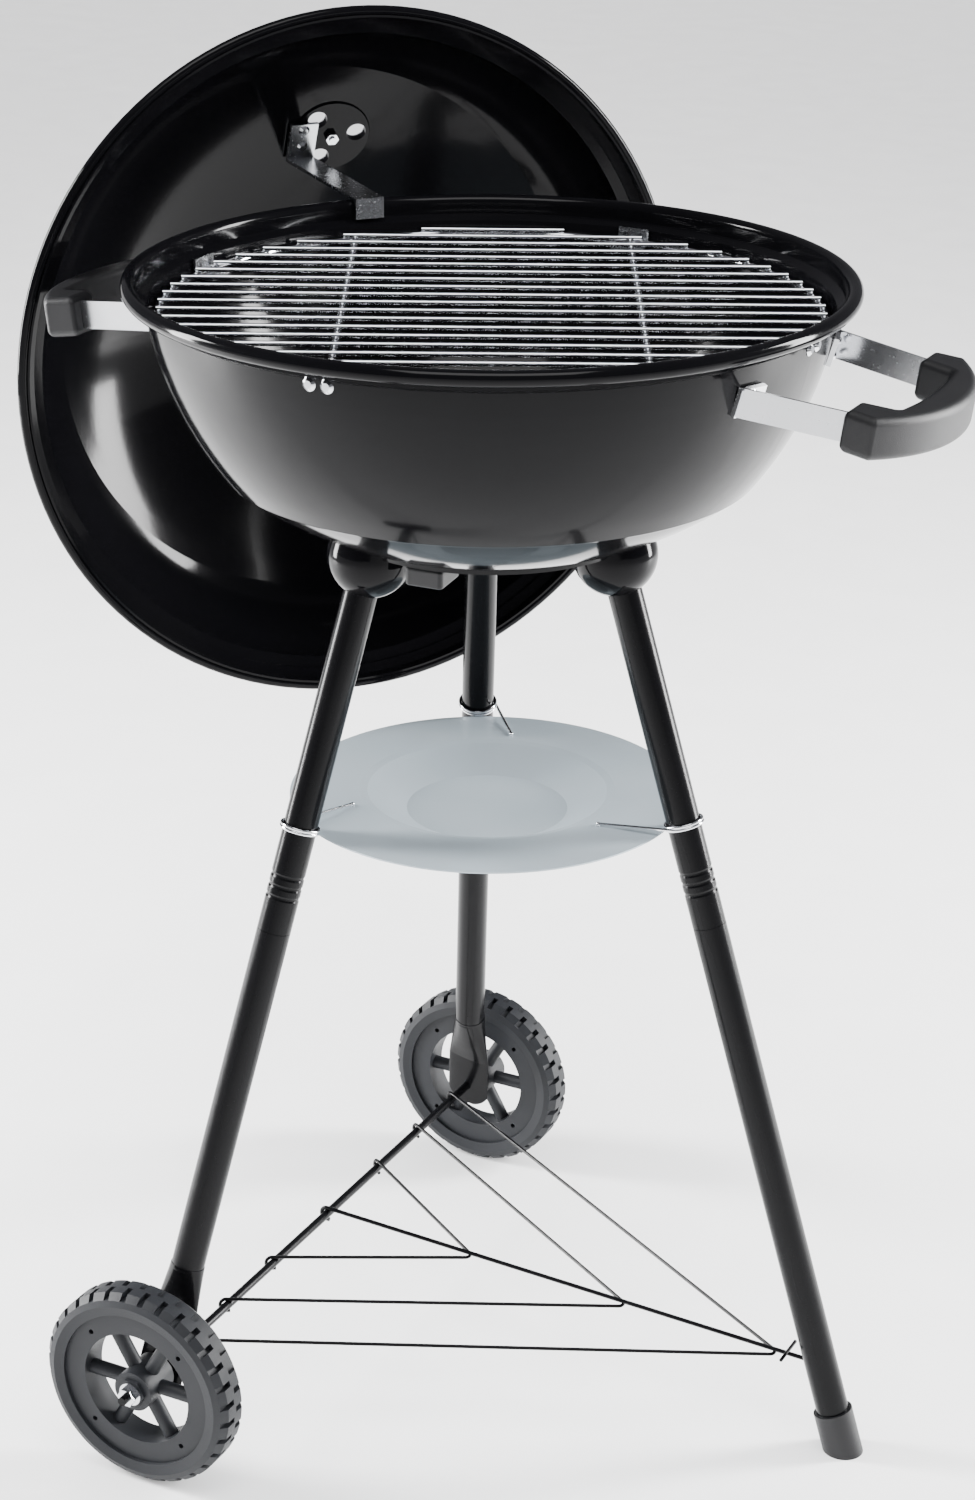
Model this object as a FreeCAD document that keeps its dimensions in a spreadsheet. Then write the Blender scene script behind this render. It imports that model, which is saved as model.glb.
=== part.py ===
import FreeCAD, Part
import os
from math import atan2, cos, degrees, hypot, radians, sin, sqrt, tan
from types import SimpleNamespace

import Sketcher
from FreeCAD import Placement, Rotation, Vector

# Kettle charcoal grill on three splayed tube legs, with its lid hung on the bowl's rim.
# Millimetres, +Z up. The origin is on the ground under the middle of the bowl, the footed
# leg points along +X, and the wheel axle is parallel to Y behind it.

doc = FreeCAD.newDocument("kettle_grill")
sheet = doc.addObject("Spreadsheet::Sheet", "Sizes")


class Size(float):
    """A number that remembers the sheet expression it comes from."""

    def __new__(cls, value, text):
        size = float.__new__(cls, value)
        size.text = text
        return size

    def __add__(self, other):
        return Size(float(self) + float(other), f"({self.text} + {text_of(other)})")

    __radd__ = __add__

    def __sub__(self, other):
        return Size(float(self) - float(other), f"({self.text} - {text_of(other)})")

    def __rsub__(self, other):
        return Size(float(other) - float(self), f"({text_of(other)} - {self.text})")

    def __mul__(self, other):
        return Size(float(self) * float(other), f"({self.text} * {text_of(other)})")

    __rmul__ = __mul__

    def __truediv__(self, other):
        return Size(float(self) / float(other), f"({self.text} / {text_of(other)})")

    def __neg__(self):
        return Size(-float(self), f"(-1 * {self.text})")


def text_of(value):
    return value.text if isinstance(value, Size) else repr(float(value))


def bind(thing, name, value):
    """Give a property its value and, when it comes from the sheet, its expression."""
    setattr(thing, name, float(value))
    if isinstance(value, Size):
        thing.setExpression(name, value.text)


DRIVING = {
    # bowl, measured from the centre line of its rolled rim
    "rim_height": 770, "rim_radius": 228.5, "bead_radius": 5, "sheet_thick": 1.5,
    "wall_top_radius": 216, "wall_bend": 215, "ridge_radius": 168, "ridge_depth": 117,
    "floor_bend": 260, "base_radius": 98, "base_depth": 158, "base_step": 3, "bowl_vent_radius": 8.5,
    "vent_circle": 27,
    # lid, measured from its mouth along its own axis
    "lid_radius": 243, "lid_bead": 3.5, "lid_wall_radius": 237, "lid_seat_radius": 231,
    "lid_seat_rise": 12, "lid_shoulder": 224, "lid_height": 150, "crown_radius": 322,
    "lid_azimuth": 140, "lid_stand_off": 232.5, "lid_drop": 111, "lid_boss_radius": 31,
    "lid_boss_rise": 4, "lid_vent_radius": 7, "lid_vent_circle": 18.5,
    # legs
    "leg_splay": 17, "leg_floor_radius": 274, "tube_radius": 11, "tube_wall": 1.2,
    "socket_bottom": 580, "leg_top": 608, "leg_joint": 367, "socket_radius": 27,
    "flat_width": 34, "flat_thick": 4, "flare_top": 138, "flare_bottom": 98,
    "cap_radius": 13.2, "cap_height": 30,
    # wheels and axle
    "wheel_radius": 70, "tyre_width": 28, "hub_radius": 55, "hub_opening": 40,
    "axle_radius": 3, "axle_clearance": 0.05, "wheel_inner_face": 226, "boss_radius": 14,
    "spoke_radius": 5, "tread_depth": 4,
    # ash pan and its clips
    "pan_height": 427, "pan_radius": 130, "pan_well_radius": 84, "pan_floor_radius": 54,
    "pan_well_depth": 12, "pan_thick": 1, "clip_wire": 1.1, "clip_height": 434,
    # grates
    "grate_radius": 208, "grate_depth": 18, "grate_ring_wire": 2.5, "grate_wire": 1.6,
    "grate_pitch": 20, "coal_grate_radius": 161, "coal_wire": 2.5, "coal_pitch": 21,
    # bowl handles
    "strap_width": 18, "strap_thick": 2, "handle_spread": 76, "handle_reach": 63,
    "handle_drop": 31, "handle_tilt": 7.6, "grip_height": 26,
    # wire rack
    "rack_wire": 1.2, "rack_rod": 1.5,
}

for row, (alias, value) in enumerate(DRIVING.items(), start=1):
    sheet.set(f"A{row}", alias.replace("_", " "))
    sheet.set(f"B{row}", str(value))
    sheet.setAlias(f"B{row}", alias)
doc.recompute()
d = SimpleNamespace(**{k: Size(v, f"Sizes.{k}") for k, v in DRIVING.items()})

pieces = {}
UP = Vector(0, 0, 1)
NOWHERE = Placement()


def keep(label, thing, place=NOWHERE):
    """Name a finished sub-part, put it in its place and mark it for export."""
    thing.Label = label
    thing.Placement = place
    pieces[label] = thing
    return thing


def cylinder(radius, height, place=NOWHERE):
    thing = doc.addObject("Part::Cylinder", "cylinder")
    bind(thing, "Radius", radius)
    bind(thing, "Height", height)
    thing.Placement = place
    return thing


def box(length, width, height, place=NOWHERE):
    thing = doc.addObject("Part::Box", "box")
    bind(thing, "Length", length)
    bind(thing, "Width", width)
    bind(thing, "Height", height)
    thing.Placement = place
    return thing


def cone(radius_low, radius_high, height, place=NOWHERE):
    thing = doc.addObject("Part::Cone", "cone")
    bind(thing, "Radius1", radius_low)
    bind(thing, "Radius2", radius_high)
    bind(thing, "Height", height)
    thing.Placement = place
    return thing


def torus(ring_radius, wire_radius, place=NOWHERE):
    thing = doc.addObject("Part::Torus", "torus")
    bind(thing, "Radius1", ring_radius)
    bind(thing, "Radius2", wire_radius)
    thing.Placement = place
    return thing


def ball(radius, place=NOWHERE):
    thing = doc.addObject("Part::Sphere", "ball")
    bind(thing, "Radius", radius)
    thing.Placement = place
    return thing


def hexagon(across_corners, height, place=NOWHERE):
    thing = doc.addObject("Part::Prism", "hexagon")
    thing.Polygon = 6
    bind(thing, "Circumradius", across_corners / 2)
    bind(thing, "Height", height)
    thing.Placement = place
    return thing


def fuse(things):
    thing = doc.addObject("Part::MultiFuse", "fused")
    thing.Shapes = things
    return thing


def cut(base, tools):
    thing = doc.addObject("Part::Cut", "trimmed")
    thing.Base = base
    thing.Tool = tools[0] if len(tools) == 1 else fuse(tools)
    return thing


def group(things):
    """Separate solids of one kind that share a node."""
    thing = doc.addObject("Part::Compound", "group")
    thing.Links = things
    return thing


def at(x=0, y=0, z=0, turn=0):
    return Placement(Vector(x, y, z), Rotation(UP, turn))


def around(angle, radius, z):
    """A place at this angle and radius, turned so that its own X points outwards."""
    a = radians(angle)
    return Placement(Vector(radius * cos(a), radius * sin(a), z), Rotation(UP, angle))


def lying(x, y, z, axis):
    """A place whose own Z points along the given axis."""
    return Placement(Vector(x, y, z), Rotation(UP, Vector(*axis)))


def rod(start, end, radius):
    run = Vector(*end) - Vector(*start)
    return cylinder(radius, run.Length, Placement(Vector(*start), Rotation(UP, run)))


def bent_wire(points, radius, bend):
    """A wire swept along straight runs that are joined by tangent arcs."""
    points = [Vector(*p) for p in points]
    edges = []
    last = points[0]
    for before, corner, after in zip(points, points[1:], points[2:]):
        back = (before - corner).normalize()
        ahead = (after - corner).normalize()
        half = back.getAngle(ahead) / 2
        setback = bend / tan(half)
        enter = corner + back * setback
        leave = corner + ahead * setback
        middle = corner + (back + ahead).normalize() * (bend / sin(half) - bend)
        edges.append(Part.LineSegment(last, enter).toShape())
        edges.append(Part.Arc(enter, middle, leave).toShape())
        last = leave
    edges.append(Part.LineSegment(last, points[-1]).toShape())
    spine = doc.addObject("Part::Feature", "spine")
    spine.Shape = Part.Wire(edges)
    ring = doc.addObject("Part::Circle", "wire_section")
    bind(ring, "Radius", radius)
    ring.Placement = Placement(points[0], Rotation(UP, points[1] - points[0]))
    sweep = doc.addObject("Part::Sweep", "sweep")
    sweep.Sections = [ring]
    sweep.Spine = (spine, [f"Edge{i + 1}" for i in range(len(edges))])
    sweep.Solid = True
    sweep.Frenet = False
    return sweep


def origin_plane(body, role):
    return next(f for f in body.Origin.OriginFeatures if f.Role == role)


def sketch_on(body, role, outline):
    """Draw a closed outline on one of the body's own planes.

    A corner is (x, y), or (x, y, radius) when an arc leads to it: a positive radius turns
    left on the way, a negative one turns right.
    """
    sketch = body.newObject("Sketcher::SketchObject", body.Name + "_outline")
    sketch.AttachmentSupport = (origin_plane(body, role), [""])
    sketch.MapMode = "FlatFace"
    ends = []
    for i, corner in enumerate(outline):
        start = Vector(outline[i - 1][0], outline[i - 1][1], 0)
        end = Vector(corner[0], corner[1], 0)
        if len(corner) == 2:
            line = sketch.addGeometry(Part.LineSegment(start, end), False)
            ends.append((line, 1, 2))
            continue
        radius = abs(float(corner[2]))
        left = float(corner[2]) > 0
        chord = end - start
        side = Vector(-chord.y, chord.x, 0).normalize() * (1 if left else -1)
        centre = (start + end) * 0.5 + side * sqrt(radius**2 - (chord.Length / 2) ** 2)
        first, second = (start, end) if left else (end, start)
        angle_1 = atan2(first.y - centre.y, first.x - centre.x)
        angle_2 = atan2(second.y - centre.y, second.x - centre.x)
        circle = Part.Circle(centre, UP, radius)
        arc = sketch.addGeometry(Part.ArcOfCircle(circle, angle_1, angle_2), False)
        ends.append((arc, 1, 2) if left else (arc, 2, 1))
        rule = sketch.addConstraint(Sketcher.Constraint("Radius", arc, radius))
        if isinstance(corner[2], Size):
            size = corner[2] if left else -corner[2]
            sketch.setExpression(f"Constraints[{rule}]", size.text)
    for i, (edge, _, tail) in enumerate(ends):
        after, head, _ = ends[(i + 1) % len(ends)]
        sketch.addConstraint(Sketcher.Constraint("Coincident", edge, tail, after, head))
        for kind, axis, value in (("DistanceX", -2, outline[i][0]), ("DistanceY", -1, outline[i][1])):
            if abs(float(value)) < 1e-9:
                sketch.addConstraint(Sketcher.Constraint("PointOnObject", edge, tail, axis))
                continue
            rule = sketch.addConstraint(Sketcher.Constraint(kind, -1, 1, edge, tail, float(value)))
            if isinstance(value, Size):
                sketch.setExpression(f"Constraints[{rule}]", value.text)
    return sketch


def new_body(name):
    return doc.addObject("PartDesign::Body", name)


def turned(body, outline, kind="PartDesign::Revolution"):
    """Add a turned form, or with a Groove cut one, about the body's own Z axis."""
    sketch = sketch_on(body, "XZ_Plane", outline)
    feature = body.newObject(kind, body.Name + "_turn")
    feature.Profile = sketch
    feature.ReferenceAxis = (sketch, ["V_Axis"])
    feature.Angle = 360
    doc.recompute()
    return body


def padded(body, outline, height):
    """Add a plate of this outline, standing on the body's own XY plane."""
    sketch = sketch_on(body, "XY_Plane", outline)
    feature = body.newObject("PartDesign::Pad", body.Name + "_pad")
    feature.Profile = sketch
    bind(feature, "Length", height)
    doc.recompute()
    return body


def rounded(body, axis, corner, rim):
    """Round a plate's corners along its axis, then the rims of its two flat ends."""
    pad = body.Tip
    upright = [f"Edge{i}" for i, edge in enumerate(pad.Shape.Edges, start=1)
               if abs(edge.tangentAt(edge.FirstParameter).dot(axis)) > 0.99]
    corners = body.newObject("PartDesign::Fillet", body.Name + "_corners")
    corners.Base = (pad, upright)
    bind(corners, "Radius", corner)
    doc.recompute()
    ends = [f"Face{i}" for i, face in enumerate(corners.Shape.Faces, start=1)
            if face.Surface.TypeId == "Part::GeomPlane" and abs(face.normalAt(0, 0).dot(axis)) > 0.99]
    rims = body.newObject("PartDesign::Fillet", body.Name + "_rims")
    rims.Base = (corners, ends)
    bind(rims, "Radius", rim)
    doc.recompute()
    return body


def rivet(head_radius, head_rise, shank_radius, grip, place=NOWHERE):
    """A rivet or screw: its shank runs from -grip to 0 and its head stands on z = 0."""
    shank = cylinder(shank_radius, grip + 0.1, at(0, 0, -grip))
    head = cone(head_radius, head_radius * 0.55, head_rise)
    thing = fuse([shank, head])
    thing.Placement = place
    return thing


# ---- bowl: one deep-drawn steel bowl with a rolled rim --------------------------------
rim_ring = d.rim_radius - d.bead_radius
neck = rim_ring - d.bead_radius + 1
form = [
    (0, -d.base_depth), (d.base_radius, -d.base_depth),
    (d.base_radius + 1, d.base_step - d.base_depth),
    (d.ridge_radius, -d.ridge_depth, d.floor_bend), (d.ridge_radius + 1.5, 1 - d.ridge_depth),
    (d.wall_top_radius - 2, -11, d.wall_bend), (neck, -8), (neck, 0), (0, 0),
]
hollow = [
    (0, d.sheet_thick - d.base_depth), (d.base_radius - d.sheet_thick, d.sheet_thick - d.base_depth),
    (d.base_radius, d.base_step + d.sheet_thick - d.base_depth),
    (d.ridge_radius - d.sheet_thick, 1 - d.ridge_depth, d.floor_bend), (d.ridge_radius, 2 - d.ridge_depth),
    (d.wall_top_radius - 3.5, -10.5, d.wall_bend), (neck - d.sheet_thick, -7), (neck - d.sheet_thick, 1), (0, 1),
]
bowl_form = turned(new_body("bowl_form"), form)
bowl_shell = turned(new_body("bowl_shell"), form)
turned(bowl_shell, hollow, "PartDesign::Groove")
rolled_rim = torus(rim_ring, d.bead_radius)

# three draught and ash holes in the bottom of the bowl, and the damper's pivot hole
VENT_START = 30
ash_holes = [
    cylinder(d.bowl_vent_radius, 12, around(VENT_START + 120 * k, d.vent_circle, -d.base_depth - 5))
    for k in range(3)
]
pivot_hole = cylinder(3, 12, at(0, 0, -d.base_depth - 5))

# ---- grate tabs: four riveted angle tabs that carry the cooking grate -------------------
TAB_TOP = -d.grate_depth - d.grate_ring_wire
TAB_RADIUS = 208.8
TAB_WIDTH = 22
RIVET_RADIUS = 213.6
RIVET_DEPTH = 14
RIVET_TURN = 1.55
tab_parts = []
tab_rivets = []
for k in range(4):
    upright = box(1.5, TAB_WIDTH, 13, at(TAB_RADIUS, -TAB_WIDTH / 2, TAB_TOP - 1.5))
    shelf = box(14, TAB_WIDTH, 1.5, at(TAB_RADIUS - 13, -TAB_WIDTH / 2, TAB_TOP - 1.5))
    tab = fuse([upright, shelf])
    tab.Placement = at(turn=90 * k)
    tab_parts.append(tab)
    for side in (-1, 1):
        spot = around(90 * k + side * RIVET_TURN, RIVET_RADIUS, -RIVET_DEPTH)
        outward = lying(0, 0, 0, (1, 0, 0))
        tab_rivets.append(rivet(4.3, 1.8, 2, RIVET_RADIUS - TAB_RADIUS, spot * outward))

# ---- bowl handles: two stainless arms, a moulded grip and screws on each ----------------
HANDLES = {"handle_front": 0, "handle_rear": 180}
SIDES = {"left": 1, "right": -1}
WALL_AT_HANDLE = 211.5
ARM_SPLAY = 9
FLANGE_LENGTH = 22
FLANGE_THICK = 3
FLANGE_LEAN = 9
STRAP_ROOT = sqrt(WALL_AT_HANDLE**2 - float(d.handle_spread) ** 2)


def handle_place(angle):
    """A handle's own frame: origin in the wall, X outwards and tilted down a little."""
    a = radians(angle)
    root = Vector(STRAP_ROOT * cos(a), STRAP_ROOT * sin(a), d.rim_height - d.handle_drop)
    return Placement(root, Rotation(UP, angle) * Rotation(Vector(0, 1, 0), float(d.handle_tilt)))


def flange_place(side):
    """The frame of an arm's flange: X along the wall, Y outwards."""
    half = d.strap_width / 2
    inner_y = d.handle_spread - FLANGE_LENGTH * cos(radians(18))
    inner_x = sqrt(WALL_AT_HANDLE**2 - float(inner_y) ** 2) - STRAP_ROOT
    start = Vector(-2.5, d.handle_spread + 0.5, -half) if side > 0 else Vector(inner_x - 2.5, -inner_y, -half)
    turn = Rotation(UP, -72 if side > 0 else -108)
    return Placement(start, turn * Rotation(Vector(1, 0, 0), -FLANGE_LEAN))


def arm_bar(side, play=0.0):
    """The straight part of an arm, or with some play the slot that it sits in."""
    y = d.handle_spread - d.strap_thick if side > 0 else -d.handle_spread
    start = Vector(0, y - play, -d.strap_width / 2 - play)
    bar_place = Placement(start, Rotation(UP, -side * ARM_SPLAY))
    reach = d.handle_reach + 14 + play
    return box(reach, d.strap_thick + 2 * play, d.strap_width + 2 * play, bar_place)


def handle_arm(side):
    arm = arm_bar(side)
    flange = box(FLANGE_LENGTH, FLANGE_THICK, d.strap_width, flange_place(side))
    return fuse([arm, flange])


grip_outline = [
    (64, -74), (84, -77), (84, 77, 120), (64, 74), (64, 50), (86, 46), (86, -46, -266), (64, -50),
]
wall_tool = doc.addObject("Part::Feature", "bowl_wall_outside")
wall_tool.Shape = bowl_form.Shape
wall_tool.Placement = at(z=d.rim_height)
handle_screws = []
for handle, angle in HANDLES.items():
    for name, side in SIDES.items():
        raw = handle_arm(side)
        raw.Placement = handle_place(angle)
        seat = handle_place(angle) * flange_place(side)
        pair = []
        for height in (4, 14):
            head = Placement(Vector(FLANGE_LENGTH / 2, FLANGE_THICK, height),
                             Rotation(Vector(1, 0, 0), -90))
            pair.append(rivet(3.2, 1.6, 1.5, 7.5, seat * head))
        handle_screws += pair
        keep(f"{handle}_arm_{name}", cut(raw, [wall_tool] + pair))
    grip_body = padded(new_body(handle + "_grip_body"), grip_outline, d.grip_height)
    rounded(grip_body, UP, 3, 5)
    grip_body.Placement = at(z=-d.grip_height / 2)
    slots = [arm_bar(side, 0.2) for side in SIDES.values()]
    keep(f"{handle}_grip", cut(grip_body, slots), handle_place(angle))
keep("handle_screws", group(handle_screws))

# ---- legs: upper tube, lower tube, and a pressed cup under the bowl ---------------------
LEGS = {"leg_foot": 0, "leg_left": 120, "leg_right": 240}
SLOPE = tan(radians(d.leg_splay))
upright_share = Size(cos(radians(d.leg_splay)), "cos(Sizes.leg_splay * 1 deg)")


def along(height):
    """Distance up the sloping leg at which it reaches this height."""
    return height / upright_share


def leg_radius(height):
    """How far out from the grill's middle the leg's centre line is at this height."""
    return float(d.leg_floor_radius) - float(height) * SLOPE


def leg_place(angle, height=0):
    """A leg's own frame: origin on its centre line, Z up along the tube, X outwards."""
    turn = Rotation(UP, angle) * Rotation(Vector(0, 1, 0), -float(d.leg_splay))
    a = radians(angle)
    radius = leg_radius(height)
    return Placement(Vector(radius * cos(a), radius * sin(a), float(height)), turn)


SPIGOT = 45
SPIGOT_PLAY = 0.1
RING_STEP = 7
RING_DEPTH = 0.5
tube_bore = d.tube_radius - d.tube_wall
leg_up = along(d.leg_top) - along(d.leg_joint)


def upper_tube(name):
    """The upper tube, with three rolled grooves near its lower end."""
    body = new_body(name)
    outline = [(tube_bore, 0), (d.tube_radius, 0)]
    for k in range(3):
        low = 22 + k * RING_STEP
        outline += [(d.tube_radius, low), (d.tube_radius - RING_DEPTH, low + 1.2),
                    (d.tube_radius - RING_DEPTH, low + 2.2), (d.tube_radius, low + 3.4)]
    outline += [(d.tube_radius, leg_up), (tube_bore, leg_up)]
    return turned(body, outline)


def spigot_tube(name, length):
    """A lower tube of this length below the joint, drawn down to a spigot above it."""
    spigot = tube_bore - SPIGOT_PLAY
    outline = [
        (spigot - d.tube_wall, 0), (d.tube_radius, 0), (d.tube_radius, length - 0.3),
        (spigot, length - 0.3), (spigot, length + SPIGOT), (spigot - d.tube_wall, length + SPIGOT),
    ]
    return turned(new_body(name), outline)


# the pressed cup is a hemisphere with a short skirt, trimmed to the bowl's underside
CUP_MID = d.socket_bottom + 27
for leg, angle in LEGS.items():
    keep(leg + "_upper", upper_tube(leg + "_upper_tube"), leg_place(angle, d.leg_joint))

cup_screws = []
for leg, angle in LEGS.items():
    a = radians(angle)
    place = leg_place(angle, CUP_MID)
    cup = fuse([ball(d.socket_radius), cylinder(d.socket_radius, 40)])
    cup.Placement = place
    bore = cylinder(d.tube_radius, 40, leg_place(angle, d.leg_top) * at(z=-40))
    mid = leg_radius(d.leg_top)
    floor_top = d.rim_height - d.base_depth + d.sheet_thick
    screw = rivet(5, 2.2, 2.5, 22, at(mid * cos(a), mid * sin(a), floor_top))
    cup_screws.append(screw)
    keep(leg + "_cup", cut(cup, [wall_tool, bore, screw]))
keep("cup_screws", group(cup_screws))

# the footed leg's lower tube ends in a plastic cap that is cut flat on the ground
foot_gap = 8
foot_run = along(d.leg_joint) - foot_gap
foot_tube = spigot_tube("leg_foot_lower_tube", foot_run)
keep("leg_foot_lower", foot_tube, leg_place(0) * at(z=foot_gap))
cap_form = cylinder(d.cap_radius, d.cap_height + 8, leg_place(0) * at(z=-8))
cap_bore = cylinder(d.tube_radius, d.cap_height, leg_place(0) * at(z=foot_gap))
below_ground = box(80, 80, 40, at(leg_radius(0) - 40, -40, -40))
keep("foot_cap", cut(cap_form, [cap_bore, below_ground]))

# the two wheel legs are pressed flat at the bottom, with the axle through the flat
axle_height = d.wheel_radius
axle_x = -leg_radius(axle_height) / 2
axle_leg_y = leg_radius(axle_height) * sin(radians(60))
flat_end = d.wheel_radius - d.flat_width / 2
for leg in ("leg_left", "leg_right"):
    angle = LEGS[leg]
    across = leg_place(angle).Rotation.inverted().multVec(Vector(0, 1, 0))
    turn = degrees(atan2(across.y, across.x)) + 90
    tube = spigot_tube(leg + "_lower_tube", along(d.leg_joint) - along(d.flare_top))
    tube.Placement = at(z=along(d.flare_top))
    round_end = doc.addObject("Part::Ellipse", "round_end")
    bind(round_end, "MajorRadius", d.tube_radius + 0.4)
    bind(round_end, "MinorRadius", d.tube_radius + 0.3)
    round_end.Placement = at(z=along(d.flare_top) + 3, turn=turn)
    flat_oval = doc.addObject("Part::Ellipse", "flat_oval")
    bind(flat_oval, "MajorRadius", d.flat_width / 2)
    bind(flat_oval, "MinorRadius", d.flat_thick / 2)
    flat_oval.Placement = at(z=along(d.flare_bottom), turn=turn)
    flare = doc.addObject("Part::Loft", "flare")
    flare.Sections = [round_end, flat_oval]
    flare.Solid = True
    flare.Ruled = False
    blade = doc.addObject("Part::Extrusion", "blade")
    blade.Base = flat_oval
    blade.DirMode = "Custom"
    blade.Dir = Vector(0, 0, -1)
    blade.Solid = True
    bind(blade, "LengthFwd", along(d.flare_bottom) - along(flat_end))
    end_round = cylinder(d.flat_width / 2 + 1.5, 60, Placement(
        Vector(0, 0, along(axle_height)) - across * 30, Rotation(UP, across)))
    above_axle = box(60, 60, 60, at(-30, -30, along(axle_height)))
    end_form = doc.addObject("Part::MultiCommon", "blade_end")
    end_form.Shapes = [blade, fuse([end_round, above_axle])]
    axle_hole = cylinder(d.axle_radius + 0.3, 60, Placement(
        Vector(0, 0, along(axle_height)) - across * 30, Rotation(UP, across)))
    lower = cut(fuse([tube, flare, end_form]), [axle_hole])
    keep(leg + "_lower", lower, leg_place(angle))

# ---- axle, wheels, spacers and nuts -----------------------------------------------------
WHEELS = {"left": 1, "right": -1}
wheel_outer_face = d.wheel_inner_face + d.tyre_width
axle_half = wheel_outer_face + 13
keep("axle", cylinder(d.axle_radius, 2 * axle_half),
     lying(axle_x, -float(axle_half), axle_height, (0, 1, 0)))

NOTCHES = 32
NOTCH_WIDTH = 4
edge_inset = 1.5
tyre_outline = [
    (d.hub_radius, edge_inset), (d.hub_radius + 7, 0), (d.wheel_radius - 4, edge_inset),
    (d.wheel_radius, 6), (d.wheel_radius, d.tyre_width - 6),
    (d.wheel_radius - 4, d.tyre_width - edge_inset), (d.hub_radius + 7, d.tyre_width),
    (d.hub_radius, d.tyre_width - edge_inset),
]
SPOKES = 6
RING_LOW = 4
hub_ring_height = d.tyre_width - 2 * RING_LOW
for name, side in WHEELS.items():
    seat = lying(axle_x, side * d.wheel_inner_face, axle_height, (0, side, 0))
    tyre = turned(new_body(f"wheel_{name}_tyre_form"), tyre_outline)
    notches = []
    for k in range(NOTCHES):
        for low, shift in ((-1, 0), (d.tyre_width / 2 + 1, 180 / NOTCHES)):
            spot = around(360 / NOTCHES * k + shift, d.wheel_radius - d.tread_depth, low)
            notches.append(box(10, NOTCH_WIDTH, d.tyre_width / 2, spot * at(y=-NOTCH_WIDTH / 2)))
    keep(f"wheel_{name}_tyre", cut(tyre, [group(notches)]), seat)

    ring = cut(cylinder(d.hub_radius, hub_ring_height, at(z=RING_LOW)),
               [cylinder(d.hub_opening, d.tyre_width)])
    boss = cylinder(d.boss_radius, d.tyre_width - 0.4, at(z=0.2))
    collar = hexagon(20, d.tyre_width + 2)
    spokes = [
        cylinder(d.spoke_radius, d.hub_opening - 8, around(60 * k, 10, d.tyre_width / 2)
                 * lying(0, 0, 0, (1, 0, 0)))
        for k in range(SPOKES)
    ]
    drillings = [cylinder(d.axle_radius + d.axle_clearance, d.tyre_width + 10, at(z=-5))]
    for k in range(4):
        drillings.append(cylinder(1.8, d.tyre_width, around(45 + 90 * k, 47.5, 0)))
    keep(f"wheel_{name}_hub", cut(fuse([ring, boss, collar] + spokes), drillings), seat)

spacers = []
washers = []
nuts = []
for side in WHEELS.values():
    inner = lying(axle_x, side * (d.wheel_inner_face - 3), axle_height, (0, side, 0))
    spacers.append(cut(cylinder(7, 2.7, inner), [cylinder(d.axle_radius, 6, inner * at(z=-1))]))
    outer = lying(axle_x, side * (wheel_outer_face + 2.3), axle_height, (0, side, 0))
    washers.append(cut(cylinder(8, 1.2, outer), [cylinder(d.axle_radius, 4, outer * at(z=-1))]))
    cap = outer * at(z=1.2)
    nuts.append(cut(hexagon(13, 5, cap), [cylinder(d.axle_radius, 8, cap * at(z=-1))]))
keep("axle_spacers", group(spacers))
keep("axle_washers", group(washers))
keep("axle_nuts", group(nuts))

# ---- wire rack between the axle and the footed leg --------------------------------------
HOOK_RISE = 4.6
HOOK_BEND = 4.2
LEG_HOLE_HEIGHT = 62
rack_end_x = leg_radius(LEG_HOLE_HEIGHT) - float(tube_bore)
rack_fall = (axle_height + HOOK_RISE - LEG_HOLE_HEIGHT) / (rack_end_x - axle_x)


def rack_level(x, drop=0.0):
    """Height of the rack's sloping plane at this distance from the grill's middle."""
    return float(axle_height) + HOOK_RISE - drop - (x - axle_x) * float(rack_fall)


def hook_points(y, towards):
    """The open hook that drops over the axle at y, for a wire that leaves along towards."""
    grip = HOOK_RISE / abs(towards.x)
    spot = Vector(axle_x, y, float(axle_height))
    tip = spot + towards * 1.5 - Vector(0, 0, HOOK_RISE)
    low = spot - towards * grip - Vector(0, 0, HOOK_RISE)
    high = spot - towards * grip + Vector(0, 0, HOOK_RISE)
    return [tip, low, high]


RACK_WIRES = {"rack_wire_short": (-7, 75), "rack_wire_middle": (113, 136), "rack_wire_long": (226, 192)}
for name, (apex_x, half) in RACK_WIRES.items():
    drop = 2 * float(d.rack_wire) + 0.3
    apex = Vector(apex_x, 0, rack_level(apex_x, drop))
    first = Vector(apex_x - axle_x, half, 0).normalize()
    second = Vector(apex_x - axle_x, -half, 0).normalize()
    points = hook_points(-half, first) + [apex] + list(reversed(hook_points(half, second)))
    keep(name, bent_wire(points, d.rack_wire, HOOK_BEND))

rod_end = Vector(rack_end_x + 2, 0, rack_level(rack_end_x + 2))
rod_points = hook_points(0, Vector(1, 0, 0)) + [rod_end]
stop_x = rack_end_x - 14
stop_bar = rod((stop_x, -13, rack_level(stop_x) + 2), (stop_x, 13, rack_level(stop_x) + 2), d.rack_wire)
keep("rack_rod", fuse([bent_wire(rod_points, d.rack_rod, HOOK_BEND), stop_bar]))

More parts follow.
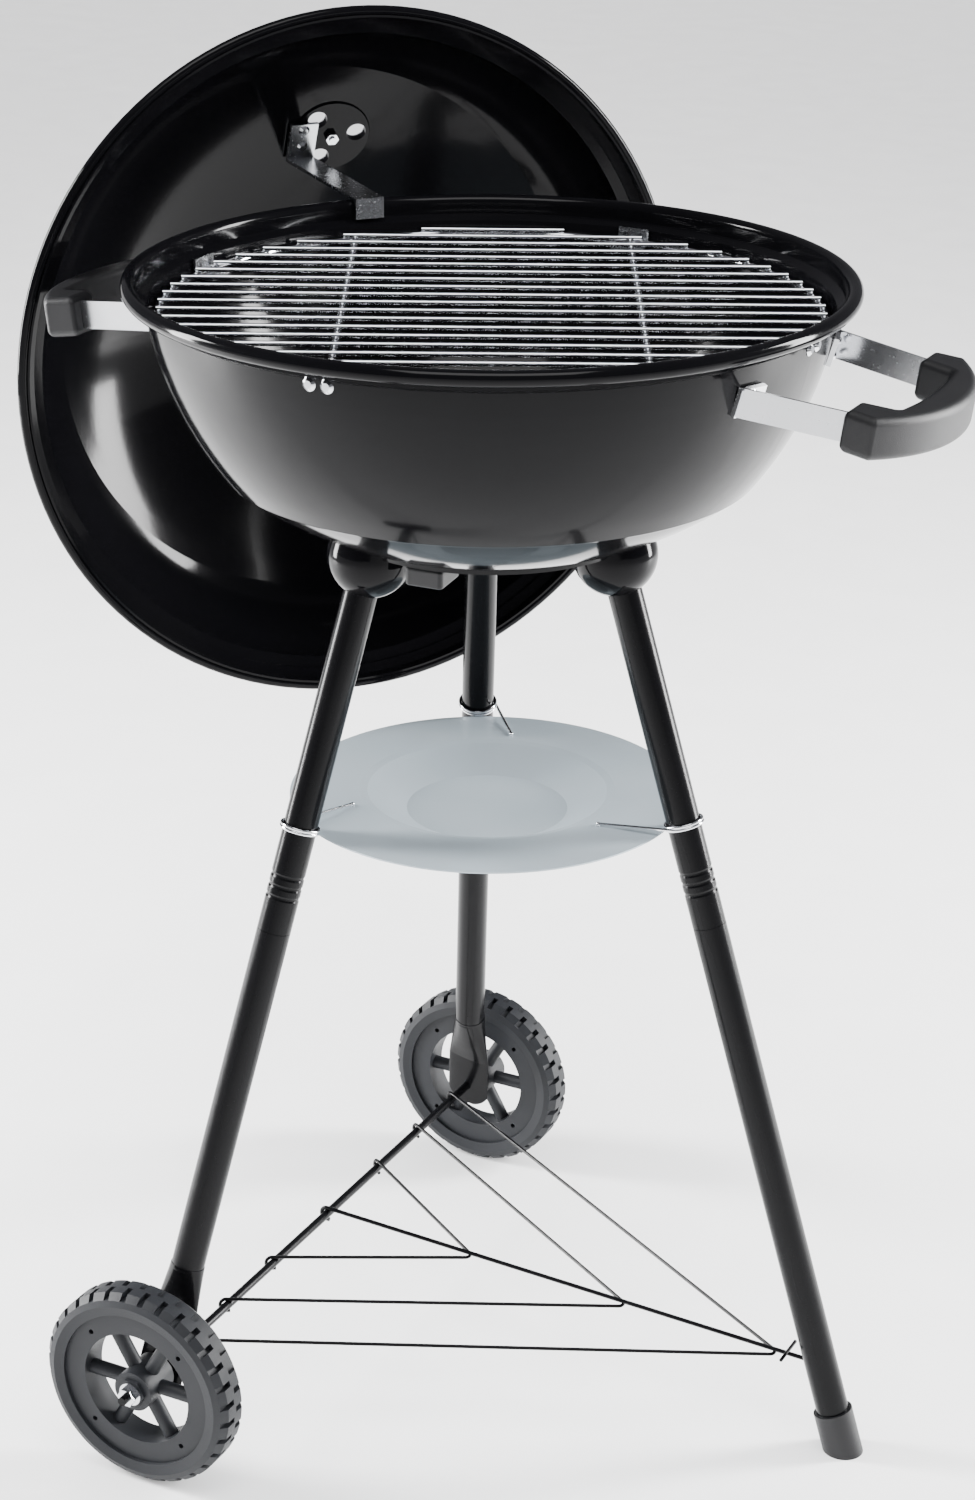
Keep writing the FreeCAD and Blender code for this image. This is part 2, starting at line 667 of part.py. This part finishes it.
# ---- ash pan and the three spring clips that hang it from the legs ----------------------
CLIP_TURN = -13
CLIP_EYE_RADIUS = 93
pan_outline = [
    (0, -d.pan_well_depth), (d.pan_floor_radius, -d.pan_well_depth), (d.pan_well_radius - 4, 1),
    (d.pan_well_radius, 2), (d.pan_radius, 0), (d.pan_radius, d.pan_thick),
    (d.pan_well_radius, 2 + d.pan_thick), (d.pan_well_radius - 5, 1 + d.pan_thick),
    (d.pan_floor_radius - 1, d.pan_thick - d.pan_well_depth), (0, d.pan_thick - d.pan_well_depth),
]
pan = turned(new_body("ash_pan_form"), pan_outline)
eye_rise = 2.6
clip_holes = []
for leg, angle in LEGS.items():
    eye_angle = angle + CLIP_TURN
    e = radians(eye_angle)
    eye = Vector(CLIP_EYE_RADIUS * cos(e), CLIP_EYE_RADIUS * sin(e), d.pan_height + eye_rise + d.clip_wire)
    coil_radius = d.tube_radius + d.clip_wire + 0.15
    middle = leg_place(angle, d.clip_height)
    turns = [torus(coil_radius, d.clip_wire, middle * at(z=step)) for step in (-1, 1)]
    side = middle.multVec(Vector(0, -float(coil_radius), -1))
    arm = rod(side, eye, d.clip_wire * 0.9)
    bend = ball(d.clip_wire * 1.15, Placement(eye, NOWHERE.Rotation))
    tail = rod(eye, eye - Vector(0, 0, 9), d.clip_wire * 0.9)
    clip_holes.append(cylinder(d.clip_wire + 0.4, 20, Placement(eye - Vector(0, 0, 12), NOWHERE.Rotation)))
    keep(leg.replace("leg", "pan_clip"), fuse(turns + [arm, bend, tail]))
clip_group = group(clip_holes)
pan.Placement = at(z=d.pan_height)
keep("ash_pan", cut(pan, [clip_group]))

# ---- the bowl itself, drilled for its tabs, handles and cups -----------------------------
drilled = cut(fuse([bowl_shell, rolled_rim]), [group(ash_holes + [pivot_hole])] + tab_rivets)
drilled.Placement = at(z=d.rim_height)
keep("bowl", cut(drilled, [group(handle_screws + cup_screws)]))
keep("grate_tabs", group([cut(group(tab_parts), [group(tab_rivets)])]), at(z=d.rim_height))
keep("tab_rivets", group(tab_rivets), at(z=d.rim_height))

# ---- ash damper: a drilled disc under the bowl, turned by a lever ------------------------
DAMPER_GAP = 0.3
LEVER_ANGLE = -88
damper_top = d.rim_height - d.base_depth - DAMPER_GAP
damper_disc = cylinder(46, 1.2, at(z=-1.2))
damper_holes = [cylinder(d.bowl_vent_radius, 4, around(VENT_START + 120 * k, d.vent_circle, -3))
                for k in range(3)]
damper_bore = cylinder(3.05, 4, at(z=-3))
keep("ash_damper", cut(damper_disc, damper_holes + [damper_bore]), at(z=damper_top))
lever = cut(box(96, 14, 2, at(-12, -7, -3.2)), [cylinder(3.05, 6, at(z=-5))])
keep("ash_lever", lever, at(z=damper_top, turn=LEVER_ANGLE))
knob_body = padded(new_body("ash_lever_grip_form"), [(66, -11), (96, -13), (96, 13), (66, 11)], 12)
rounded(knob_body, UP, 3, 2)
knob_body.Placement = at(z=-12.4)
lever_slot = box(30, 14, 2, at(60, -7, -3.2))
keep("ash_lever_grip", cut(knob_body, [lever_slot]), at(z=damper_top, turn=LEVER_ANGLE))
pivot_stem = cylinder(3, 12, at(z=-5.5))
pivot_head = cylinder(7, 2, at(z=d.sheet_thick + DAMPER_GAP))
pivot_foot = cylinder(6, 2, at(z=-5.6))
keep("ash_pivot", fuse([pivot_stem, pivot_head, pivot_foot]), at(z=damper_top))

# ---- grates: welded wire, the cooking grate on the tabs and the coal grate on the ridge --
GRATE_TURN = 27


def wire_grate(ring_radius, ring_wire, bar_wire, pitch):
    """Parallel bars laid across a round ring, with two cross bars under them."""
    parts = [torus(ring_radius, ring_wire)]
    rise = float(ring_wire) + float(bar_wire) - 0.4
    count = int(float(ring_radius) / float(pitch))
    for k in range(-count, count + 1):
        y = float(pitch) * k
        half = sqrt(max(float(ring_radius) ** 2 - y**2, 0)) + 1
        parts.append(rod((-half, y, rise), (half, y, rise), bar_wire))
    for side in (-1, 1):
        x = side * float(ring_radius) * 0.45
        half = sqrt(float(ring_radius) ** 2 - x**2)
        parts.append(rod((x, -half, 0), (x, half, 0), ring_wire))
    return fuse(parts)


cooking = wire_grate(d.grate_radius - d.grate_ring_wire, d.grate_ring_wire, d.grate_wire, d.grate_pitch)
keep("cooking_grate", cooking, at(z=d.rim_height - d.grate_depth, turn=GRATE_TURN))
coal = wire_grate(d.coal_grate_radius - d.coal_wire, d.coal_wire, d.coal_wire, d.coal_pitch)
coal_height = d.rim_height - d.ridge_depth - 0.5
keep("coal_grate", coal, at(z=coal_height, turn=GRATE_TURN + 90))

# ---- lid: one deep-drawn steel dome with a rolled rim, hung beside the bowl --------------
a = radians(d.lid_azimuth)
lid_x = Vector(-sin(a), cos(a), 0)
lid_out = Vector(cos(a), sin(a), 0)
lid_origin = lid_out * float(d.lid_stand_off) + Vector(0, 0, d.rim_height - d.lid_drop)
lid_place = Placement(lid_origin, Rotation(lid_x, UP, lid_out, "ZYX"))

shoulder_radius = 83
crown_rise = 88
thick = d.sheet_thick
crown_centre = d.lid_height - d.crown_radius
crown_edge = sqrt(float(d.crown_radius) ** 2 - float(crown_rise - crown_centre) ** 2)
inner_crown = float(d.crown_radius) - float(thick)
inner_rise = crown_rise - 1.2
inner_edge = sqrt(inner_crown**2 - float(inner_rise - crown_centre) ** 2)
dome = [
    (0, 0), (d.lid_wall_radius, 0), (d.lid_wall_radius, d.lid_seat_rise - 3),
    (d.lid_seat_radius, d.lid_seat_rise), (d.lid_seat_radius, d.lid_seat_rise + 3),
    (d.lid_shoulder, d.lid_seat_rise + 6), (d.lid_shoulder, 21),
    (crown_edge, crown_rise, shoulder_radius), (0, d.lid_height, d.crown_radius),
]
dome_section = dome[1:] + [
    (0, d.lid_height - thick), (inner_edge, inner_rise, thick - d.crown_radius),
    (d.lid_shoulder - thick, 21, thick - shoulder_radius),
    (d.lid_shoulder - thick, d.lid_seat_rise + 4.7), (d.lid_seat_radius - thick, d.lid_seat_rise + 1.7),
    (d.lid_seat_radius - thick, d.lid_seat_rise - 0.7),
    (d.lid_wall_radius - thick, d.lid_seat_rise - 3.7), (d.lid_wall_radius - thick, 0),
]
lid_shell = turned(new_body("lid_shell"), dome_section)
lid_rim = torus(d.lid_radius - d.lid_bead, d.lid_bead, at(z=d.lid_bead))

# the draught boss is a flat pressed in the dome, with three holes round a bolt
BOSS_X = -22
BOSS_Y = 135
boss_reach = hypot(BOSS_X, BOSS_Y)
boss_tilt = Vector(BOSS_X, BOSS_Y, sqrt(float(d.crown_radius) ** 2 - boss_reach**2)).normalize()
boss_centre = Vector(0, 0, crown_centre) + boss_tilt * float(d.crown_radius)
boss_place = Placement(boss_centre, Rotation(UP, boss_tilt))
BOSS_TOP = 0.8
boss = cone(d.lid_boss_radius - 3, d.lid_boss_radius, d.lid_boss_rise + 1, boss_place * at(z=BOSS_TOP - 5))
VENT_TURN = 51
lid_holes = [
    cylinder(d.lid_vent_radius, 16, boss_place * around(VENT_TURN + 120 * k, d.lid_vent_circle, -9))
    for k in range(3)
]

damper_play = 0.2
damper_place = boss_place * at(z=BOSS_TOP + damper_play)
lid_disc = cylinder(28, 1)
tab = box(12, 14, 1, at(24, -7, 0))
tab_up = box(1, 14, 10, at(35, -7, 0))
damper_cuts = [cylinder(d.lid_vent_radius, 4, around(VENT_TURN + 120 * k, d.lid_vent_circle, -1))
               for k in range(3)] + [cylinder(2.55, 4, at(z=-1))]
keep("lid_damper", cut(fuse([lid_disc, tab, tab_up]), damper_cuts), lid_place * damper_place)
damper_bolt = fuse([cylinder(2.5, 15, at(z=-11)), hexagon(9, 3, at(z=1 + damper_play))])
damper_bolt.Placement = damper_place
damper_nut = cut(hexagon(9.5, 3.5, damper_place * at(z=-9.4)), [damper_bolt])

# the inside hook: an angle riveted in the dome, whose tongue drops inside the bowl's rim
HOOK_WIDTH = 20
HOOK_THICK = 2.5
REST_GAP = 0.05
hook_low = d.lid_drop + d.bead_radius + REST_GAP
hook_high = float(hook_low) + HOOK_THICK
depth_at_hook = float(crown_centre) + sqrt(inner_crown**2 - hook_high**2)
TONGUE_FRONT = -20
PLATE_GAP = 1.6
hook_arm = box(HOOK_WIDTH, HOOK_THICK, depth_at_hook - TONGUE_FRONT - PLATE_GAP - 1,
               at(-HOOK_WIDTH / 2, hook_low, TONGUE_FRONT))
tongue = box(HOOK_WIDTH, 14, HOOK_THICK, at(-HOOK_WIDTH / 2, hook_low - 11.5, TONGUE_FRONT))
PLATE_LENGTH = 31
plate_far_y = hook_high + 30
plate_far_z = float(crown_centre) + sqrt(inner_crown**2 - plate_far_y**2)
plate_slope = degrees(atan2(depth_at_hook - plate_far_z, 30))
hook_plate = box(HOOK_WIDTH, PLATE_LENGTH, HOOK_THICK, Placement(
    Vector(-HOOK_WIDTH / 2, float(hook_low), depth_at_hook - HOOK_THICK - PLATE_GAP),
    Rotation(Vector(1, 0, 0), -plate_slope)))
hook_rivets = []
for reach in (12, 26):
    y = float(hook_low) + reach * cos(radians(plate_slope))
    z = depth_at_hook - HOOK_THICK - PLATE_GAP - reach * sin(radians(plate_slope))
    inward = Placement(Vector(0, y, z), Rotation(Vector(1, 0, 0), 180 - plate_slope))
    hook_rivets.append(rivet(4, 1.6, 2, 5.8, inward))
lid_hook = cut(fuse([hook_arm, tongue, hook_plate]), hook_rivets)

# the lid's handle: a moulded arch on two bushes over a heat shield, screwed from inside
HANDLE_HALF = 46
BUSH_TOP = 157
bush_foot = float(crown_centre) + sqrt(float(d.crown_radius) ** 2 - HANDLE_HALF**2)
dome_tool = turned(new_body("dome_outside"), dome)
bushes = []
screws = []
for side in (-1, 1):
    bushes.append(cylinder(8, BUSH_TOP - bush_foot + 3, at(side * HANDLE_HALF, 0, bush_foot - 3)))
    shank = cylinder(2.5, 34, at(side * HANDLE_HALF, 0, bush_foot - 3))
    head = cylinder(5, 2.5, at(side * HANDLE_HALF, 0, bush_foot - 4.8))
    screws.append(fuse([shank, head]))
shield = cut(box(130, 32, 1.2, at(-65, -16, BUSH_TOP)), [group(screws)])
arch = [
    (-66, 0), (-36, 0), (-28, 13), (28, 13, -90), (36, 0), (66, 0), (60, 18), (36, 32),
    (-36, 32), (-60, 18),
]
arch_body = new_body("lid_handle_arch")
arch_sketch = sketch_on(arch_body, "XZ_Plane", arch)
arch_pad = arch_body.newObject("PartDesign::Pad", "lid_handle_pad")
arch_pad.Profile = arch_sketch
arch_pad.Length = 26
doc.recompute()
rounded(arch_body, Vector(0, 1, 0), 3, 5)
arch_body.Placement = at(y=13, z=BUSH_TOP + 1.2)

lid_solid = cut(fuse([lid_shell, lid_rim, boss]),
                [group(lid_holes + screws + hook_rivets + [damper_bolt])])
keep("lid", lid_solid, lid_place)
keep("lid_bolt", group([damper_bolt]), lid_place)
keep("lid_nut", damper_nut, lid_place)
keep("lid_hook", lid_hook, lid_place)
keep("lid_hook_rivets", group(hook_rivets), lid_place)
keep("lid_handle_bushes", cut(group(bushes), [dome_tool, group(screws)]), lid_place)
keep("lid_handle_shield", shield, lid_place)
keep("lid_handle_grip", cut(arch_body, [group(screws)]), lid_place)
keep("lid_handle_screws", group(screws), lid_place)

# ---- check and write ---------------------------------------------------------------------
doc.recompute()
failed = [thing.Label for thing in doc.Objects if {"Invalid", "Error"} & set(thing.State)]
if failed:
    raise RuntimeError(f"these objects failed: {failed}")
for label, thing in pieces.items():
    if thing.Shape.isNull() or not thing.Shape.isValid() or not thing.Shape.Solids:
        raise RuntimeError(f"{label} has no valid solid")
os.makedirs("parts", exist_ok=True)
for label, thing in pieces.items():
    thing.Shape.exportStep(f"parts/{label}.step")
    print(f"{label}: {len(thing.Shape.Solids)} solid(s), {thing.Shape.Volume / 1000:.2f} cm3")
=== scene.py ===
import math

import bpy
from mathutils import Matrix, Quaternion, Vector

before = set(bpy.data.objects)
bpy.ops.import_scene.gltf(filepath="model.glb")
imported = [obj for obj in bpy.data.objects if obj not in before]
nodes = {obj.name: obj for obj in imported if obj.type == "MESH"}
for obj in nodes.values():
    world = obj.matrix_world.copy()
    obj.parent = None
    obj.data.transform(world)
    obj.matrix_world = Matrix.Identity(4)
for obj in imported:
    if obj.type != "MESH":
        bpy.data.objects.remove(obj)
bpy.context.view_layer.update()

# ---- enamelled steel: the bowl, the lid and the three leg cups --------------------------
# Deep-drawn sheet steel, dipped and fired in black vitreous enamel, so the gloss is deep and
# has a faint orange peel. The cups are pressed and fired the same way.
CLOUD_SCALE = 14
CLOUD_LAYERS = 5
GRAIN_LAYERS = 3
SPECK_START = 0.66
SPECK_FULL = 0.76
SPECK_DULLING = 0.12
GRAIN_DEPTH = 0.0004
COAT_ROUGHNESS = 0.04
SMOOTHEST = 0.8
ROUGHEST = 1.25


def detail_group(name, grain_scale, speck_scale):
    """A shared effect: slow cloudy variation, fine specks, and a bumped normal from a fine grain."""
    tree = bpy.data.node_groups.new(name, "ShaderNodeTree")
    tree.interface.new_socket("Relief", in_out="INPUT", socket_type="NodeSocketFloat")
    tree.interface.new_socket("Cloud", in_out="OUTPUT", socket_type="NodeSocketFloat")
    tree.interface.new_socket("Specks", in_out="OUTPUT", socket_type="NodeSocketFloat")
    tree.interface.new_socket("Normal", in_out="OUTPUT", socket_type="NodeSocketVector")
    entry = tree.nodes.new("NodeGroupInput")
    leave = tree.nodes.new("NodeGroupOutput")
    place = tree.nodes.new("ShaderNodeTexCoord")
    cloud = tree.nodes.new("ShaderNodeTexNoise")
    cloud.inputs["Scale"].default_value = CLOUD_SCALE
    cloud.inputs["Detail"].default_value = CLOUD_LAYERS
    grain = tree.nodes.new("ShaderNodeTexNoise")
    grain.inputs["Scale"].default_value = grain_scale
    grain.inputs["Detail"].default_value = GRAIN_LAYERS
    speck = tree.nodes.new("ShaderNodeTexNoise")
    speck.inputs["Scale"].default_value = speck_scale
    sharpen = tree.nodes.new("ShaderNodeMapRange")
    sharpen.inputs["From Min"].default_value = SPECK_START
    sharpen.inputs["From Max"].default_value = SPECK_FULL
    bump = tree.nodes.new("ShaderNodeBump")
    bump.inputs["Distance"].default_value = GRAIN_DEPTH
    for texture in (cloud, grain, speck):
        tree.links.new(place.outputs["Object"], texture.inputs["Vector"])
    tree.links.new(speck.outputs["Fac"], sharpen.inputs["Value"])
    tree.links.new(grain.outputs["Fac"], bump.inputs["Height"])
    tree.links.new(entry.outputs["Relief"], bump.inputs["Strength"])
    tree.links.new(cloud.outputs["Fac"], leave.inputs["Cloud"])
    tree.links.new(sharpen.outputs["Result"], leave.inputs["Specks"])
    tree.links.new(bump.outputs["Normal"], leave.inputs["Normal"])
    return tree


def finish_of(name, dark, light, metal, rough, relief, effect, sheen=0.5, coat=0.0):
    """A material whose colour drifts from dark to light, with specks of dust that dull it."""
    material = bpy.data.materials.new(name)
    material.use_nodes = True
    tree = material.node_tree
    shader = tree.nodes["Principled BSDF"]
    shader.inputs["Metallic"].default_value = metal
    shader.inputs["Specular IOR Level"].default_value = sheen
    shader.inputs["Coat Weight"].default_value = coat
    shader.inputs["Coat Roughness"].default_value = COAT_ROUGHNESS
    detail = tree.nodes.new("ShaderNodeGroup")
    detail.node_tree = effect
    detail.inputs["Relief"].default_value = relief
    tint = tree.nodes.new("ShaderNodeMix")
    tint.data_type = "RGBA"
    tint.inputs["A"].default_value = (*dark, 1)
    tint.inputs["B"].default_value = (*light, 1)
    spread = tree.nodes.new("ShaderNodeMapRange")
    spread.inputs["To Min"].default_value = rough * SMOOTHEST
    spread.inputs["To Max"].default_value = rough * ROUGHEST
    dull = tree.nodes.new("ShaderNodeMath")
    dull.operation = "MULTIPLY_ADD"
    dull.inputs[1].default_value = SPECK_DULLING
    tree.links.new(detail.outputs["Cloud"], tint.inputs["Factor"])
    tree.links.new(detail.outputs["Cloud"], spread.inputs["Value"])
    tree.links.new(detail.outputs["Specks"], dull.inputs[0])
    tree.links.new(spread.outputs["Result"], dull.inputs[2])
    tree.links.new(tint.outputs["Result"], shader.inputs["Base Color"])
    tree.links.new(dull.outputs["Value"], shader.inputs["Roughness"])
    tree.links.new(detail.outputs["Normal"], shader.inputs["Normal"])
    return material


def dress(material, names):
    for name in names:
        nodes[name].data.materials.clear()
        nodes[name].data.materials.append(material)


enamel_detail = detail_group("enamel detail", 260, 900)
enamel = finish_of("black enamel", (0.0015, 0.0015, 0.002), (0.003, 0.003, 0.0035), 0.0, 0.1, 0.035,
                   enamel_detail, sheen=0.09, coat=0.03)
dress(enamel, ["bowl", "lid", "leg_foot_cup", "leg_left_cup", "leg_right_cup"])

# ---- painted tube and wire: the legs, the axle and the rack -----------------------------
# Drawn steel tube, bent wire and a straight axle, all powder coated black. The coat is a
# little softer to look at than the enamel.
tube_detail = detail_group("paint detail", 900, 700)
tube_paint = finish_of("black tube paint", (0.002, 0.002, 0.0025), (0.004, 0.004, 0.0045), 0.0, 0.22, 0.08,
                       tube_detail, sheen=0.1, coat=0.03)
dress(tube_paint, [f"leg_{leg}_{part}" for leg in ("foot", "left", "right") for part in ("upper", "lower")])
dress(tube_paint, ["rack_wire_short", "rack_wire_middle", "rack_wire_long", "rack_rod", "axle"])

# ---- stainless sheet: handle arms, dampers, hook, grate tabs and heat shield ------------
# Thin rolled stainless, stamped and folded, then riveted or screwed in place. It is left
# uncoated, with a fine grain and a soft sheen.
steel_detail = detail_group("steel detail", 1500, 500)
stainless = finish_of("stainless sheet", (0.55, 0.56, 0.58), (0.72, 0.73, 0.75), 1.0, 0.24, 0.12,
                      steel_detail)
dress(stainless, [f"handle_{end}_arm_{side}" for end in ("front", "rear") for side in ("left", "right")])
dress(stainless, ["lid_damper", "lid_hook", "grate_tabs", "lid_handle_shield", "ash_lever", "ash_damper"])

# ---- bright plate: grates, clips, screws, rivets and nuts -------------------------------
# Welded wire grates, bent spring clips and small fastenings, all plated after they are made.
# The plate is bright but never mirror-smooth.
plate_detail = detail_group("plate detail", 700, 1200)
bright = finish_of("bright plate", (0.66, 0.67, 0.7), (0.85, 0.86, 0.88), 1.0, 0.14, 0.05, plate_detail)
dress(bright, ["cooking_grate", "coal_grate", "pan_clip_foot", "pan_clip_left", "pan_clip_right"])
dress(bright, ["tab_rivets", "handle_screws", "cup_screws", "axle_nuts", "axle_washers", "ash_pivot"])
dress(bright, ["lid_bolt", "lid_nut", "lid_hook_rivets", "lid_handle_screws", "lid_handle_bushes"])

# ---- moulded grips, foot cap and spacers ------------------------------------------------
# Glass-filled black plastic, moulded with a fine spark-eroded grain. The grips are screwed
# to their arms, and the cap is pushed on the leg.
grip_detail = detail_group("grip detail", 2200, 800)
grip_plastic = finish_of("grip plastic", (0.005, 0.005, 0.006), (0.009, 0.009, 0.01), 0.0, 0.42, 0.45,
                         grip_detail, sheen=0.3)
dress(grip_plastic, ["handle_front_grip", "handle_rear_grip", "lid_handle_grip", "ash_lever_grip"])
dress(grip_plastic, ["foot_cap", "axle_spacers"])

# ---- wheels: moulded dark grey tyres and spoked hubs      -------------------------------
# Each wheel is matt moulded plastic, turning on the axle between a spacer and a washer.
# It shows a little dust in the tread.
wheel_detail = detail_group("wheel detail", 1600, 400)
wheel_plastic = finish_of("wheel plastic", (0.008, 0.009, 0.011), (0.016, 0.017, 0.02), 0.0, 0.5, 0.4,
                          wheel_detail, sheen=0.25)
dress(wheel_plastic, [f"wheel_{side}_{part}" for side in ("left", "right") for part in ("tyre", "hub")])

# ---- ash pan: dull galvanised dish ------------------------------------------------------
# A shallow pressed steel dish hung from the legs on three clips. Its blue-grey zinc has a
# soft cloudy spangle.
pan_detail = detail_group("pan detail", 500, 300)
zinc = finish_of("galvanised", (0.3, 0.36, 0.4), (0.42, 0.48, 0.52), 0.3, 0.4, 0.1, pan_detail)
dress(zinc, ["ash_pan"])

# ---- floor: a plain pale sweep the grill stands on --------------------------------------
# One wide matt sheet, faintly clouded.
floor_mesh = bpy.data.meshes.new("floor")
FLOOR_REACH = 40
floor_corners = [(x * FLOOR_REACH, y * FLOOR_REACH, 0) for x, y in ((-1, -1), (1, -1), (1, 1), (-1, 1))]
floor_mesh.from_pydata(floor_corners, [], [(0, 1, 2, 3)])
floor = bpy.data.objects.new("floor", floor_mesh)
bpy.context.scene.collection.objects.link(floor)
floor_detail = detail_group("floor detail", 60, 200)
floor_mesh.materials.append(finish_of("pale floor", (0.88, 0.88, 0.88), (0.92, 0.92, 0.92), 0.0, 0.6, 0.0,
                                      floor_detail))

# ---- light: a pale room that looks darker in reflections, and two tall soft boxes -------
world = bpy.data.worlds.new("studio")
bpy.context.scene.world = world
world.use_nodes = True
background = world.node_tree.nodes["Background"]
ray = world.node_tree.nodes.new("ShaderNodeLightPath")
shade = world.node_tree.nodes.new("ShaderNodeMix")
shade.data_type = "RGBA"
shade.inputs["A"].default_value = (1.75, 1.75, 1.77, 1)
shade.inputs["B"].default_value = (0.16, 0.16, 0.17, 1)
world.node_tree.links.new(ray.outputs["Is Glossy Ray"], shade.inputs["Factor"])
world.node_tree.links.new(shade.outputs["Result"], background.inputs["Color"])

# each soft box has an azimuth in degrees, a distance, a height, a width, a length and a power
SOFT_BOXES = {
    "left soft box": (-165, 2.4, 1.1, 0.5, 1.8, 260),
    "right soft box": (40, 2.4, 1.1, 0.5, 1.8, 240),
    "top soft box": (-62, 0.9, 2.8, 1.6, 1.2, 45),
}
lit_middle = Vector((0, 0, 0.6))
for name, (azimuth, distance, height, width, tall, power) in SOFT_BOXES.items():
    light = bpy.data.lights.new(name, "AREA")
    light.shape = "RECTANGLE"
    light.size = width
    light.size_y = tall
    light.energy = power
    lamp = bpy.data.objects.new(name, light)
    turn = math.radians(azimuth)
    lamp.location = (distance * math.cos(turn), distance * math.sin(turn), height)
    lamp.rotation_euler = (lit_middle - lamp.location).to_track_quat("-Z", "Y").to_euler()
    bpy.context.scene.collection.objects.link(lamp)

# ---- camera: standing height, looking down on the open bowl -----------------------------
CAMERA_PLACE = (0.854, -1.669, 1.233)
CAMERA_ROLL = 0.009
SENSOR_HEIGHT = 24
LENS = 49.5
camera_data = bpy.data.cameras.new("camera")
camera_data.sensor_fit = "VERTICAL"
camera_data.sensor_height = SENSOR_HEIGHT
camera_data.lens = LENS
camera = bpy.data.objects.new("camera", camera_data)
camera.location = CAMERA_PLACE
facing = math.radians(117.1)
pitch = math.radians(22.5)
look = Vector((math.cos(facing) * math.cos(pitch), math.sin(facing) * math.cos(pitch), -math.sin(pitch)))
camera.rotation_mode = "QUATERNION"
camera.rotation_quaternion = look.to_track_quat("-Z", "Y") @ Quaternion((0, 0, 1), CAMERA_ROLL)
bpy.context.scene.collection.objects.link(camera)
bpy.context.scene.camera = camera
